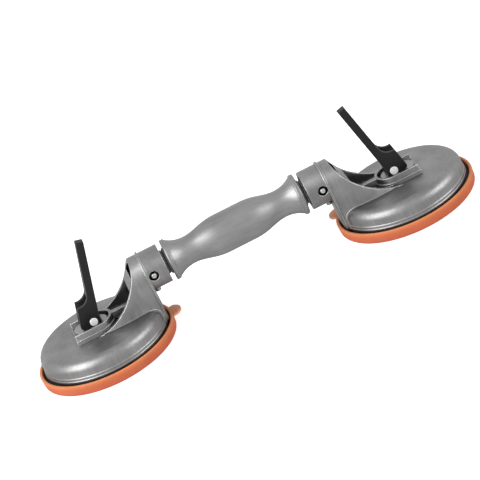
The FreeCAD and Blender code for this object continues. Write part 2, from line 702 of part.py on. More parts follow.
def build_return_spring(head):
    """A coil between the backing plate and the dome; a sweep has no simpler feature here."""
    label = f"{head.name}_return_spring"
    wire_radius = s.spring_wire.value
    start = s.plate_top.value + s.soft_gap.value + wire_radius
    rise = ceiling.value - wire_radius - start
    helix = Part.makeHelix(rise / s.spring_turns.value, rise, s.spring_radius.value)
    section = Part.Wire(Part.makeCircle(wire_radius, Vector(s.spring_radius.value, 0, 0), Vector(0, 1, 0)))
    coil = Part.Wire(helix).makePipeShell([section], True, True)
    spring = doc.addObject("Part::Feature", label)
    spring.Label = label
    spring.Shape = coil
    bodies.append(spring)
    head.place(spring, z=as_size(start))


def build_suction_pad(head):
    body = start_body(f"{head.name}_suction_pad")
    sketch = sketch_on(body, "XZ_Plane", "pad_profile")
    bead_outer = rim_outer - s.soft_gap
    bead_inner = rim_inner + s.soft_gap
    hub_top = s.plate_top - s.plate_height - s.soft_gap
    web_top = pad_bottom + s.pad_web
    outline(sketch,
            (ZERO, pad_bottom), (pad_radius - s.pad_bevel, pad_bottom), (pad_radius, pad_bottom + s.pad_bevel),
            (pad_radius, s.dome_edge), (bead_outer, s.dome_edge), (bead_outer, s.rim_recess),
            (bead_inner, s.rim_recess), (bead_inner, web_top), (s.pad_hub, web_top),
            (s.pad_hub, hub_top), (ZERO, hub_top))
    revolve(body, "pad_disc", sketch)
    head.place(body)


def build_cover(head, tab_turn):
    body = start_body(f"{head.name}_cover")
    sketch = sketch_on(body, "XZ_Plane", "cover_profile")
    inner = cover_radius - s.cover_wall
    outline(sketch,
            (ZERO, ZERO), (cover_radius - s.cover_foot, ZERO),
            (cover_radius, s.cover_foot, s.cover_foot, 1), (cover_radius, s.cover_height - s.cover_lip),
            (cover_radius - s.cover_lip, s.cover_height, s.cover_lip, 1), (inner + s.cover_lip, s.cover_height),
            (inner, s.cover_height - s.cover_lip, s.cover_lip, 1), (inner, s.cover_floor), (ZERO, s.cover_floor))
    revolve(body, "cover_tray", sketch)
    tab = sketch_on(body, "XY_Plane", "tab_plan", s.cover_height - s.cover_lip - s.tab_thick)
    tab_root = cover_radius - s.cover_wall / 2
    tab_bow = s.tab_reach - s.tab_side
    tab_radius = (s.tab_half * s.tab_half + tab_bow * tab_bow) / (2 * tab_bow)
    shoulder = cover_radius + s.tab_side
    outline(tab,
            (tab_root, -s.tab_half), (shoulder, -s.tab_half),
            (shoulder, s.tab_half, tab_radius, 1), (tab_root, s.tab_half))
    pad(body, "pull_tab", tab, s.tab_thick)
    head.place(body, turn=tab_turn)


# ---------------------------------------------------------------- lever
def build_lever(head):
    """Drawn upright about its pin, then leaned towards the handle."""
    body = start_body(f"{head.name}_lever")
    side = sketch_on(body, "XZ_Plane", "lever_side")
    sin_lean = sine(s.lever_lean)
    cos_lean = cosine(s.lever_lean)
    cam_x = s.cam_radius - s.heel_reach
    cam_z = (s.cam_radius - s.sole_reach + cam_x * sin_lean) / cos_lean
    toe_x = s.toe_reach * cos_lean + s.sole_reach * sin_lean
    toe_z = s.toe_reach * sin_lean - s.sole_reach * cos_lean
    toe_top = (s.toe_reach - s.grip_face * cos_lean) / sin_lean
    run = s.heel_reach - s.arm_back
    rise = s.arm_foot - s.heel_top
    scoop = (run * run + rise * rise) / (2 * run)
    outline(side,
            (-s.heel_reach, s.heel_top, scoop, -1), (-s.heel_reach, cam_z),
            (cam_x + s.cam_radius * sin_lean, cam_z - s.cam_radius * cos_lean, s.cam_radius, 1),
            (toe_x, toe_z), (s.grip_face, toe_top), (s.grip_face, s.lever_length),
            (-s.tip_back, s.lever_length), (-s.arm_back, s.arm_foot))
    pad(body, "lever_blank", side, s.lever_width, Midplane=True)

    half = s.lever_width / 2
    tip_half = s.lever_tip_width / 2
    taper = sketch_on(body, "YZ_Plane", "lever_taper")
    taper.AttachmentOffset = Placement(Vector(0, 0, 0), Rotation(Vector(1, 0, 0), s.crease_slope.value))
    taper.setExpression(".AttachmentOffset.Rotation.Angle", s.crease_slope.text + " * 1deg")
    crease = s.lever_crease * cosine(s.crease_slope)
    beyond = s.lever_length + s.lever_width
    slope = (half - tip_half) / ((s.lever_length - s.lever_crease) * cosine(s.crease_slope))
    for sign in (1, -1):
        outline(taper,
                (sign * half, crease), (sign * s.lever_width, crease),
                (sign * s.lever_width, beyond), (sign * (half - slope * (beyond - crease)), beyond))
    cut(body, "Pocket", "lever_taper_cut", taper, Type="ThroughAll", Midplane=True)

    slot = sketch_on(body, "XZ_Plane", "lever_slot_outline")
    outline(slot,
            (-s.lever_width, -s.heel_reach), (s.heel_reach, -s.heel_reach),
            (s.heel_reach, s.slot_roof), (-s.lever_width, s.slot_roof))
    cut(body, "Pocket", "lever_fork_slot", slot, Type="Length", Length=s.lever_slot, Midplane=True)
    hole = sketch_on(body, "XZ_Plane", "lever_hole_round")
    circle(hole, ZERO, ZERO, s.lever_pin_radius)
    cut(body, "Pocket", "lever_pin_hole", hole, Type="ThroughAll", Midplane=True)
    dress(body, "Fillet", "lever_tip_rounding", s.tip_round,
          lambda edge: lies_at(edge, z=s.lever_length))
    head.place(body, z=s.pin_height, lean=s.lever_lean)


def build_lever_pin(head):
    body = start_body(f"{head.name}_lever_pin")
    half = s.lever_width / 2
    outer = half + s.pin_head_height
    sketch = sketch_on(body, "XY_Plane", "lever_pin_profile")
    outline(sketch,
            (ZERO, -outer), (s.pin_head_radius - s.pin_head_chamfer, -outer),
            (s.pin_head_radius, s.pin_head_chamfer - outer), (s.pin_head_radius, -half),
            (s.lever_pin_radius, -half), (s.lever_pin_radius, half), (s.spigot_radius, half),
            (s.spigot_radius, outer - s.pin_head_chamfer), (ZERO, outer - s.pin_head_chamfer))
    revolve(body, "lever_pin_turned", sketch)
    head.place(body, z=s.pin_height)


def build_pin_cap(head):
    body = start_body(f"{head.name}_pin_cap")
    half = s.lever_width / 2
    outer = half + s.pin_head_height
    sketch = sketch_on(body, "XY_Plane", "pin_cap_profile")
    outline(sketch,
            (s.spigot_radius, half), (s.pin_head_radius, half),
            (s.pin_head_radius, outer - s.pin_head_chamfer),
            (s.pin_head_radius - s.pin_head_chamfer, outer), (ZERO, outer),
            (ZERO, outer - s.pin_head_chamfer), (s.spigot_radius, outer - s.pin_head_chamfer))
    revolve(body, "pin_cap_turned", sketch)
    head.place(body, z=s.pin_height)


# ---------------------------------------------------------------- assembly
class Head:
    """Places the pieces of one head: the left one as drawn, the right one turned half round."""

    def __init__(self, name, side, half_turn):
        self.name = name
        self.side = side
        self.half_turn = half_turn

    def place(self, item, x=ZERO, z=ZERO, turn=0.0, lean=None):
        spin = Rotation(Vector(0, 0, 1), self.half_turn + turn)
        if lean is not None:
            spin = spin * Rotation(Vector(0, 1, 0), lean.value)
        item.Placement = Placement(Vector(0, 0, 0), spin)
        item.setExpression(".Placement.Base.x", (self.side * (s.cup_spacing / 2 - x)).text)
        item.setExpression(".Placement.Base.z", z.text)


def build_head(head, tab_turn):
    build_cross_pin(head)
    build_swivel_bush(head)
    build_head_casting(head)
    build_wear_plate(head)
    build_set_screw(head)
    build_pull_post(head)
    build_pad_plate(head)
    build_return_spring(head)
    build_suction_pad(head)
    build_lever(head)
    build_lever_pin(head)
    build_pin_cap(head)
    build_cover(head, tab_turn)


def check_and_write():
    doc.recompute()
    for item in doc.Objects:
        bad = {"Invalid", "Error"} & set(item.State)
        if bad:
            raise RuntimeError(f"{item.Label} is {', '.join(sorted(bad))}")
    os.makedirs("parts", exist_ok=True)
    for item in bodies:
        shape = item.Shape
        if shape.isNull() or not shape.isValid() or not shape.Solids:
            raise RuntimeError(f"{item.Label} has no valid solid")
        shape.exportStep(f"parts/{item.Label}.step")
        print(f"{item.Label}: {len(shape.Solids)} solid, {shape.Volume / 1000:.2f} cm3")


build_handle()
build_head(Head("left", -1, 0.0), LEFT_TAB_TURN)
build_head(Head("right", 1, 180.0), RIGHT_TAB_TURN)
check_and_write()
print(f"pad lift {lift.value:.3f} mm over {90 + s.lever_lean.value} degrees of lever")
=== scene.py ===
"""Two-cup suction lifter with swivelling heads: finishes, soft pieces and the studio round it."""

import math

import bmesh
import bpy
from mathutils import Matrix, Vector


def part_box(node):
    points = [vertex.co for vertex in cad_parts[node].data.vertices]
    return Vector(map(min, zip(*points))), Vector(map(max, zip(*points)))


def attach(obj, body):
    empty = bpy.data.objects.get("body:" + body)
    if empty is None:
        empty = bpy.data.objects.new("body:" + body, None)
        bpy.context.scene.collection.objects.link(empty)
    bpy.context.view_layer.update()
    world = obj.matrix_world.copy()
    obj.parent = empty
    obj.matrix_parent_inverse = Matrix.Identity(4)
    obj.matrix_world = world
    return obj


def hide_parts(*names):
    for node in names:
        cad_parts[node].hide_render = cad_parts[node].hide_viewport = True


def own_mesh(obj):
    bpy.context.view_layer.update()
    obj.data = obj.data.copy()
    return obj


bl_info = {
    "name": "Suction Lifter Dresser",
    "version": (1, 0, 0),
    "blender": (4, 5, 0),
    "location": "View3D > Sidebar > Lifter",
    "description": "Dresses the packed suction lifter and sets up its studio",
    "category": "Object",
}

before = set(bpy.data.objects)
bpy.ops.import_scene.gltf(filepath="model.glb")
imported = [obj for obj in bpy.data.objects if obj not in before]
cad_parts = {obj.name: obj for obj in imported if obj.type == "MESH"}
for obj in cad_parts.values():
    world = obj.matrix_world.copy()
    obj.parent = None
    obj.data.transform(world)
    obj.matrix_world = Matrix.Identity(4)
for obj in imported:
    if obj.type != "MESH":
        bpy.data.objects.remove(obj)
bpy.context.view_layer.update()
SIDES = ("left", "right")
MM = 0.001
# the dome, in millimetres: flat top above the floor, side wall and shoulder rounding
DOME_TOP, DOME_WALL, DOME_SHOULDER = 27.0, 56.0, 8.2
# the handle, in millimetres: radius of the grip and of its thinnest place, bend of the grip towards that
# place and of the flare beyond it; the slope between grip and bend is in degrees
GRIP_RADIUS, WAIST_RADIUS, GRIP_BEND, FLARE_BEND, GRIP_SLOPE = 17.2, 12.15, 38.0, 26.1, 15.1
# what the camera and the lights aim at
VIEW_CENTRE = (-0.00076, 0.0, 0.03984)
LIGHT_CENTRE = (0.0, 0.0, 0.04)


def cup_centre(side):
    """The place under the middle of a head, on the floor."""
    low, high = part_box(f"{side}_suction_pad")
    return Vector(((low.x + high.x) / 2, 0.0, 0.0))


def inward(side):
    """+1 where the handle lies towards +X of the head, -1 where it lies towards -X."""
    return 1.0 if side == "left" else -1.0


# ---------------------------------------------------------------- materials
def linear(hex_colour):
    """An sRGB hex colour as linear RGBA."""
    channels = [int(hex_colour[i:i + 2], 16) / 255 for i in (1, 3, 5)]
    return [c / 12.92 if c <= 0.04045 else ((c + 0.055) / 1.055) ** 2.4 for c in channels] + [1.0]


def add_node(tree, kind, settings=None, values=None, links=None):
    """Adds one node, with its settings, its input values and what its inputs are linked to."""
    node = tree.nodes.new(kind)
    for key, value in (settings or {}).items():
        setattr(node, key, value)
    for key, value in (values or {}).items():
        node.inputs[key].default_value = value
    for key, (source, output) in (links or {}).items():
        tree.links.new(source.outputs[output], node.inputs[key])
    return node


def new_material(name, values):
    """A material with one shader, whose constant inputs are given, and the place on the piece."""
    material = bpy.data.materials.new(name)
    material.use_nodes = True
    tree = material.node_tree
    tree.nodes.clear()
    shader = add_node(tree, "ShaderNodeBsdfPrincipled", values=values)
    add_node(tree, "ShaderNodeOutputMaterial", links={"Surface": (shader, "BSDF")})
    place = add_node(tree, "ShaderNodeTexCoord")
    return material, tree, shader, place


def colour_steps(tree, factor, *steps):
    """A colour ramp; each step is (position, hex colour)."""
    ramp = add_node(tree, "ShaderNodeValToRGB", links={"Fac": factor})
    while len(ramp.color_ramp.elements) < len(steps):
        ramp.color_ramp.elements.new(0.5)
    for element, (position, colour) in zip(ramp.color_ramp.elements, steps):
        element.position = position
        element.color = linear(colour)
    return ramp


def noise(tree, place, scale, detail=3.0, stretch=None):
    """Noise with about scale blotches to the metre; stretch draws it out along X, Y or Z."""
    source = (place, "Object")
    if stretch:
        drawn = add_node(tree, "ShaderNodeMapping", values={"Scale": stretch}, links={"Vector": source})
        source = (drawn, "Vector")
    return add_node(tree, "ShaderNodeTexNoise", values={"Scale": scale, "Detail": detail},
                    links={"Vector": source})


def blended(tree, mode, factor, under, over):
    """Lays one colour over another; factor is a number or a link. Gives the node and its colour output."""
    factor_in, under_in, over_in, colour_out = 0, 6, 7, 2
    links = {under_in: under}
    values = {}
    for socket, item in ((factor_in, factor), (over_in, over)):
        if isinstance(item, tuple):
            links[socket] = item
        else:
            values[socket] = linear(item) if isinstance(item, str) else item
    mix = add_node(tree, "ShaderNodeMix", {"data_type": "RGBA", "blend_type": mode}, values, links)
    return mix, colour_out


def stretch_range(tree, source, low, high, to_low, to_high):
    """A value that runs from low to high, stretched to run from to_low to to_high."""
    return add_node(tree, "ShaderNodeMapRange",
                    values={"From Min": low, "From Max": high, "To Min": to_low, "To Max": to_high},
                    links={"Value": source})


def edge_wear_and_highlight(tree, radius):
    """A mask for edge wear and painted highlight: 1 along outer edges, 0 on flat places and in corners, and
    the normal rounded over the edges.
    """
    rounded = add_node(tree, "ShaderNodeBevel", {"samples": 8}, {"Radius": radius})
    flat = add_node(tree, "ShaderNodeNewGeometry")
    facing = add_node(tree, "ShaderNodeVectorMath", {"operation": "DOT_PRODUCT"},
                      links={0: (rounded, "Normal"), 1: (flat, "Normal")})
    edge = stretch_range(tree, (facing, "Value"), 0.99, 0.86, 0.0, 1.0)
    hollow = add_node(tree, "ShaderNodeAmbientOcclusion", {"samples": 6}, {"Distance": 4 * radius})
    open_side = stretch_range(tree, (hollow, "AO"), 0.7, 0.9, 0.0, 1.0)
    both = add_node(tree, "ShaderNodeMath", {"operation": "MULTIPLY"},
                    links={0: (edge, "Result"), 1: (open_side, "Result")})
    return both, rounded


def feed(tree, source, shader, socket):
    """Links a source, which is (node, output), to one of the shader's inputs."""
    node, output = source
    tree.links.new(node.outputs[output], shader.inputs[socket])


def bumped(tree, shader, height, strength, depth, rounded=None):
    """Lets a height roughen the shader's surface, over a rounded normal where there is one."""
    links = {"Height": height}
    if rounded:
        links["Normal"] = (rounded, "Normal")
    bump = add_node(tree, "ShaderNodeBump", values={"Strength": strength, "Distance": depth}, links=links)
    feed(tree, (bump, "Normal"), shader, "Normal")


def cast_aluminium(name, dark, light, stretch):
    """Die-cast aluminium, tumbled: cloudy satin grey, with painted shade in its corners and edges lighter
    from rubbing and a painted highlight.
    """
    material, tree, shader, place = new_material(name, {"Metallic": 1.0})
    # clouds of about 25 mm, and drawn marks about 2 mm wide
    cloud = noise(tree, place, 38.0, 4.0)
    tone = colour_steps(tree, (cloud, "Fac"), (0.3, dark), (0.7, light))
    drawn = noise(tree, place, 420.0, 2.0, stretch)
    marks = colour_steps(tree, (drawn, "Fac"), (0.3, "#D8D8D8"), (0.6, "#FFFFFF"))
    marked = blended(tree, "MULTIPLY", 0.35, (tone, "Color"), (marks, "Color"))
    # a soft shade about 18 mm deep where the neck and the dome close in
    corner = add_node(tree, "ShaderNodeAmbientOcclusion", {"samples": 8}, {"Distance": 18 * MM})
    depth = colour_steps(tree, (corner, "AO"), (0.15, "#7C7C7C"), (0.85, "#FFFFFF"))
    shaded = blended(tree, "MULTIPLY", 0.75, marked, (depth, "Color"))
    # painted shade in the tight corners, about 1.5 mm wide
    crevice = add_node(tree, "ShaderNodeAmbientOcclusion", {"samples": 8}, {"Distance": 1.8 * MM})
    crevice_shade = colour_steps(tree, (crevice, "AO"), (0.35, "#505050"), (0.72, "#FFFFFF"))
    lined = blended(tree, "MULTIPLY", 1.0, shaded, (crevice_shade, "Color"))
    # edges lighter, partly from real rubbing and partly from a painted highlight
    wear_and_highlight, rounded = edge_wear_and_highlight(tree, 0.7 * MM)
    feed(tree, blended(tree, "MIX", (wear_and_highlight, "Value"), lined, "#E2E2E2"), shader, "Base Color")
    # a grain of about 1 mm, coarser than the real one so that it shows
    grain = noise(tree, place, 1000.0, 3.0)
    rough = stretch_range(tree, (grain, "Fac"), 0.3, 0.7, 0.37, 0.48)
    feed(tree, (rough, "Result"), shader, "Roughness")
    bumped(tree, shader, (grain, "Fac"), 0.42, 0.2 * MM, rounded)
    return material


def rubbed_and_highlit_steel(name, dark, light, edge, roughness, metallic=1.0):
    """A steel or rivet finish: two close tones in a fine grain and lighter edges, partly from wear and partly
    a painted highlight.
    """
    material, tree, shader, place = new_material(name, {"Metallic": metallic, "Roughness": roughness})
    # a grain of about 1 mm
    grain = noise(tree, place, 900.0, 2.0)
    tone = colour_steps(tree, (grain, "Fac"), (0.3, dark), (0.7, light))
    # edges lighter, partly from wear and partly from a painted highlight
    wear_and_highlight, rounded = edge_wear_and_highlight(tree, 0.25 * MM)
    feed(tree, blended(tree, "MIX", (wear_and_highlight, "Value"), (tone, "Color"), edge), shader, "Base Color")
    bumped(tree, shader, (grain, "Fac"), 0.08, 0.1 * MM, rounded)
    return material


def black_powder_coat():
    """Powder coat on the cast levers: near black, satin, finely rippled, greyer along the edges from wear and
    a painted highlight.
    """
    material, tree, shader, place = new_material(
        "black_powder_coat", {"Roughness": 0.45, "IOR": 1.5, "Specular IOR Level": 0.22})
    # ripples of about 1 mm
    ripple = noise(tree, place, 950.0, 2.0)
    tone = colour_steps(tree, (ripple, "Fac"), (0.3, "#121213"), (0.7, "#1B1B1C"))
    # greyer edges, partly from wear and partly from a painted highlight
    wear_and_highlight, rounded = edge_wear_and_highlight(tree, 0.6 * MM)
    feed(tree, blended(tree, "MIX", (wear_and_highlight, "Value"), (tone, "Color"), "#5A5A5B"), shader, "Base Color")
    bumped(tree, shader, (ripple, "Fac"), 0.15, 0.2 * MM, rounded)
    return material


def black_acetal():
    """Acetal of the ball bushes: black, smooth, slightly waxy."""
    material, tree, shader, place = new_material("black_acetal", {"Roughness": 0.35, "IOR": 1.48})
    # clouds of about 3 mm
    haze = noise(tree, place, 300.0)
    tone = colour_steps(tree, (haze, "Fac"), (0.3, "#151515"), (0.7, "#1E1E1E"))
    feed(tree, (tone, "Color"), shader, "Base Color")
    return material


def black_rubber():
    """Moulded rubber: black, dull, with a dusting of grey bloom and a fine moulded grain."""
    material, tree, shader, place = new_material(
        "moulded_black_rubber", {"Roughness": 0.62, "IOR": 1.52, "Specular IOR Level": 0.25})
    # bloom in spots of about 6 mm, and a moulded grain of about 0.7 mm
    bloom = noise(tree, place, 160.0, 4.0)
    tone = colour_steps(tree, (bloom, "Fac"), (0.35, "#0A0A0A"), (0.75, "#131313"))
    feed(tree, (tone, "Color"), shader, "Base Color")
    grain = noise(tree, place, 1500.0)
    bumped(tree, shader, (grain, "Fac"), 0.2, 0.2 * MM)
    return material


def soft_orange(side):
    """Soft PVC of a cover: warm orange, satin, painted lighter up towards the rim where light falls, and
    paler in the pull tab.
    """
    material, tree, shader, place = new_material(
        f"{side}_soft_orange_pvc", {"Roughness": 0.6, "IOR": 1.53, "Specular IOR Level": 0.22})
    # painted light: from the tone at the cover's floor up to a lighter tone at the rim, over a wall 10 mm
    # high
    split = add_node(tree, "ShaderNodeSeparateXYZ", links={"Vector": (place, "Object")})
    height = stretch_range(tree, (split, "Z"), 0.0, 10 * MM, 0.0, 1.0)
    tone = colour_steps(tree, (height, "Result"), (0.0, "#BF5F40"), (0.62, "#C56744"), (0.93, "#D2784C"),
                        (1.0, "#E09060"))
    # the tab begins 62.3 mm from the cup's axis and is thin enough to let light through
    centre = add_node(tree, "ShaderNodeVectorMath", {"operation": "SUBTRACT"},
                      {1: (cup_centre(side).x, 0.0, 0.0)}, {0: (place, "Object")})
    flat = add_node(tree, "ShaderNodeVectorMath", {"operation": "MULTIPLY"}, {1: (1.0, 1.0, 0.0)},
                    {0: (centre, "Vector")})
    reach = add_node(tree, "ShaderNodeVectorMath", {"operation": "LENGTH"}, links={0: (flat, "Vector")})
    tab = stretch_range(tree, (reach, "Value"), 62.3 * MM, 63.6 * MM, 0.0, 1.0)
    paler = blended(tree, "MIX", (tab, "Result"), (tone, "Color"), "#EFA886")
    # clouds of about 17 mm
    cloud = noise(tree, place, 60.0)
    veil = colour_steps(tree, (cloud, "Fac"), (0.3, "#F2F2F2"), (0.7, "#FFFFFF"))
    feed(tree, blended(tree, "MULTIPLY", 1.0, paler, (veil, "Color")), shader, "Base Color")
    return material


def fit(piece, material, body, node=None):
    """Gives a new piece its finish and its body, and lets it stand for a CAD node if it has one."""
    piece.data.materials.clear()
    piece.data.materials.append(material)
    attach(piece, body)
    if node:
        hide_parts(node)


def dress(material, *nodes):
    """Gives CAD nodes their finish."""
    for name in nodes:
        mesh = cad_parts[name].data
        mesh.materials.clear()
        mesh.materials.append(material)


# ---------------------------------------------------------------- modelling helpers
def put_in_scene(name, data):
    """A new object in the scene that shows this data."""
    item = bpy.data.objects.new(name, data)
    bpy.context.scene.collection.objects.link(item)
    return item


def only(item):
    """Selects just this object and makes it active."""
    bpy.ops.object.select_all(action="DESELECT")
    item.select_set(True)
    bpy.context.view_layer.objects.active = item


def pick(piece, kind, test):
    """In edit mode, selects just the verts, edges or faces that pass the test."""
    bpy.ops.mesh.select_all(action="DESELECT")
    mesh = bmesh.from_edit_mesh(piece.data)
    for item in getattr(mesh, kind):
        if test(item):
            item.select_set(True)
    mesh.select_flush_mode()
    bmesh.update_edit_mesh(piece.data)


def cut_away(place, outwards):
    """In edit mode, takes off what lies outwards of a plane and closes the cut."""
    bpy.ops.mesh.select_all(action="SELECT")
    bpy.ops.mesh.bisect(plane_co=place, plane_no=outwards, use_fill=True, clear_outer=True)


def face_outwards():
    """In edit mode, selects everything and turns each face outwards."""
    bpy.ops.mesh.select_all(action="SELECT")
    bpy.ops.mesh.normals_make_consistent(inside=False)


def settle(piece, angle=35.0):
    """Puts the piece's place into its mesh and smooths what isn't an edge."""
    only(piece)
    bpy.ops.object.transform_apply(location=True, rotation=True, scale=True)
    bpy.ops.object.shade_smooth_by_angle(angle=math.radians(angle))


def apply_modifier(piece, kind, **settings):
    """Adds a modifier with these settings and applies it."""
    only(piece)
    modifier = piece.modifiers.new(kind.lower(), kind)
    for key, value in settings.items():
        setattr(modifier, key, value)
    bpy.ops.object.modifier_apply(modifier=modifier.name)


def turned_disc(name, centre, rings, sides):
    """A disc raised ring by ring from its bottom face, closed at the last; a ring is (radius, height)."""
    radius, height = rings[0]
    bpy.ops.object.select_all(action="DESELECT")
    bpy.ops.mesh.primitive_circle_add(vertices=sides, radius=radius, fill_type="NGON",
                                      location=(centre.x, centre.y, height))
    piece = bpy.context.object
    piece.name = piece.data.name = name
    bpy.ops.object.transform_apply(location=True)
    bpy.ops.object.mode_set(mode="EDIT")
    pick(piece, "edges", lambda edge: True)
    for next_radius, next_height in rings[1:]:
        bpy.ops.mesh.extrude_edges_move(TRANSFORM_OT_translate={"value": (0, 0, next_height - height)})
        factor = next_radius / radius
        bpy.ops.transform.resize(value=(factor, factor, 1), center_override=(centre.x, centre.y, next_height))
        radius, height = next_radius, next_height
    bpy.ops.mesh.edge_face_add()
    face_outwards()
    bpy.ops.object.mode_set(mode="OBJECT")
    return piece


def clean_faces(piece):
    """Merges doubles and takes each flat face in one piece."""
    only(piece)
    bpy.ops.object.mode_set(mode="EDIT")
    bpy.ops.mesh.select_all(action="SELECT")
    bpy.ops.mesh.remove_doubles(threshold=0.002 * MM)
    bpy.ops.mesh.dissolve_limited(angle_limit=math.radians(0.5))
    bpy.ops.object.mode_set(mode="OBJECT")


def merged_copy(node, name):
    """A CAD node's shape as a closed mesh of its own."""
    piece = put_in_scene(name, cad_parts[node].data.copy())
    clean_faces(piece)
    return piece


def round_edges(piece, width):
    """Rounds every edge sharper than 34 degrees."""
    apply_modifier(piece, "BEVEL", width=width, segments=2, limit_method="ANGLE",
                   angle_limit=math.radians(34.0), use_clamp_overlap=True, harden_normals=False)
    settle(piece, 30.0)


def block(low, high):
    """A cutter or filler block between two corners."""
    bpy.ops.object.select_all(action="DESELECT")
    bpy.ops.mesh.primitive_cube_add(size=1.0, location=(Vector(low) + Vector(high)) / 2,
                                    scale=Vector(high) - Vector(low))
    item = bpy.context.object
    bpy.ops.object.transform_apply(location=True, scale=True)
    return item


def round_bar(radius, length, place):
    """A round cutter, lying along Y."""
    bpy.ops.object.select_all(action="DESELECT")
    bpy.ops.mesh.primitive_cylinder_add(vertices=96, radius=radius, depth=length, location=place,
                                        rotation=(math.pi / 2, 0, 0))
    bar = bpy.context.object
    bpy.ops.object.transform_apply(location=True, rotation=True)
    return bar


def combine(piece, operation, *tools):
    """Joins or cuts a piece with tools, which are then deleted."""
    for tool in tools:
        apply_modifier(piece, "BOOLEAN", object=tool, operation=operation, solver="EXACT")
        bpy.data.objects.remove(tool)


# ---------------------------------------------------------------- castings and levers
def grip_radius(run):
    """The grip's radius at a distance in mm inwards from its thinnest place; below 0 lies the flare."""
    if run < 0:
        return WAIST_RADIUS + FLARE_BEND - math.sqrt(FLARE_BEND ** 2 - run ** 2)
    # the bend hands over to the slope after 9.9 mm, and the slope eases into the grip's own radius
    bend_run, easing, ease_depth = 9.9, 2.0, 0.5
    swept = min(run, bend_run)
    taper = (WAIST_RADIUS + GRIP_BEND - math.sqrt(GRIP_BEND ** 2 - swept ** 2)
             + (run - swept) * math.tan(math.radians(GRIP_SLOPE)))
    blend = max(easing - abs(taper - GRIP_RADIUS), 0.0) / easing
    return min(taper, GRIP_RADIUS) - ease_depth * blend ** 2


def turned_handle():
    """The cast handle: smooth grip, hand stops with a rolled rim, shouldered shafts with the pin's bores."""
    low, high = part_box("handle_casting")
    # in mm from the handle's middle: the shaft's end, the hand stop's face and the thinnest place
    end = high.x / MM
    stop = end - 27.5
    waist = stop - 19.5
    grip_steps, flare_steps, flare_length = 36, 14, 15.3
    half = [(waist * step / grip_steps, grip_radius(waist - waist * step / grip_steps))
            for step in range(grip_steps)]
    half += [(waist + flare_length * step / flare_steps, grip_radius(-flare_length * step / flare_steps))
             for step in range(flare_steps + 1)]
    # the hand stop's rolled rim
    half += [(stop - 4.15, 17.3), (stop - 3.95, 17.85), (stop - 3.5, 18.2), (stop - 2.9, 18.28),
             (stop - 1.0, 18.28), (stop - 0.45, 18.1), (stop - 0.1, 17.6), (stop, 16.9)]
    # the shaft: shoulder, groove and chamfered end
    half += [(stop, 11.7), (stop + 1.2, 11.6), (stop + 1.45, 11.3), (stop + 1.5, 10.2), (stop + 2.4, 10.2),
             (stop + 2.45, 10.75), (end - 1.2, 10.75), (end - 0.05, 9.6)]
    rings = [(radius * MM, -place * MM) for place, radius in reversed(half[1:])]
    rings += [(radius * MM, place * MM) for place, radius in half]
    piece = turned_disc("turned_handle", Vector((0, 0, 0)), rings, 128)
    piece.rotation_euler.y = math.pi / 2
    piece.location.z = (low.z + high.z) / 2
    settle(piece, 40.0)
    bore_radius, through = 2.25 * MM, 60 * MM
    for side in SIDES:
        pin_low, pin_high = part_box(f"{side}_cross_pin")
        combine(piece, "DIFFERENCE", round_bar(bore_radius, through, (pin_low + pin_high) / 2))
    settle(piece, 40.0)
    return piece


def back_rim(side):
    """The raised rim round the back plate: a slice of the head's own shape, grown a little."""
    reach, thickness, inset, growth, rounding = 57.7 * MM, 2.1 * MM, 0.25 * MM, 0.35 * MM, 0.25 * MM
    toward = inward(side)
    face = cup_centre(side).x + toward * reach
    piece = merged_copy(f"{side}_head_casting", f"{side}_back_rim")
    bpy.ops.object.mode_set(mode="EDIT")
    cut_away((face - toward * inset, 0, 0), (toward, 0, 0))
    cut_away((face - toward * thickness, 0, 0), (-toward, 0, 0))
    face_outwards()
    bpy.ops.transform.shrink_fatten(value=growth)
    bpy.ops.object.mode_set(mode="OBJECT")
    round_edges(piece, rounding)
    return piece


def scaled(rings):
    """Rings given in millimetres, in metres."""
    return [(radius * MM, height * MM) for radius, height in rings]


def dome_body(side, growth):
    """A plain dome on the cup's axis, as a tool, larger all round than the head's own by growth in mm."""
    top, wall, shoulder = DOME_TOP + growth, DOME_WALL + growth, DOME_SHOULDER + growth
    core, foot, arc = 4.0, 8.0, 7.5
    rings = [(core, foot), (wall, foot)]
    rings += [(wall - shoulder + shoulder * math.cos(math.radians(arc * step)),
               top - shoulder + shoulder * math.sin(math.radians(arc * step))) for step in range(12)]
    rings += [(wall - shoulder, top), (core, top)]
    return turned_disc("dome_tool", cup_centre(side), scaled(rings), 144)


def neck_foot(side):
    """The moulded line where the neck meets the dome: a low band of the neck's outline, grown a little."""
    # the band lies between 0.1 and 1.3 mm over the dome, on the neck's side of it and above its skirt
    band_top, band_foot, growth = 1.3, 0.1, 0.3 * MM
    fork_side, skirt_top = 4 * MM, 15.2 * MM
    toward = inward(side)
    piece = merged_copy(f"{side}_head_casting", f"{side}_neck_foot")
    bpy.ops.object.mode_set(mode="EDIT")
    cut_away((cup_centre(side).x + toward * fork_side, 0, 0), (-toward, 0, 0))
    cut_away((0, 0, skirt_top), (0, 0, -1))
    bpy.ops.object.mode_set(mode="OBJECT")
    combine(piece, "INTERSECT", dome_body(side, band_top))
    combine(piece, "DIFFERENCE", dome_body(side, band_foot))
    clean_faces(piece)
    bpy.ops.object.mode_set(mode="EDIT")
    bpy.ops.mesh.select_all(action="SELECT")
    bpy.ops.transform.shrink_fatten(value=growth)
    bpy.ops.object.mode_set(mode="OBJECT")
    settle(piece, 30.0)
    return piece


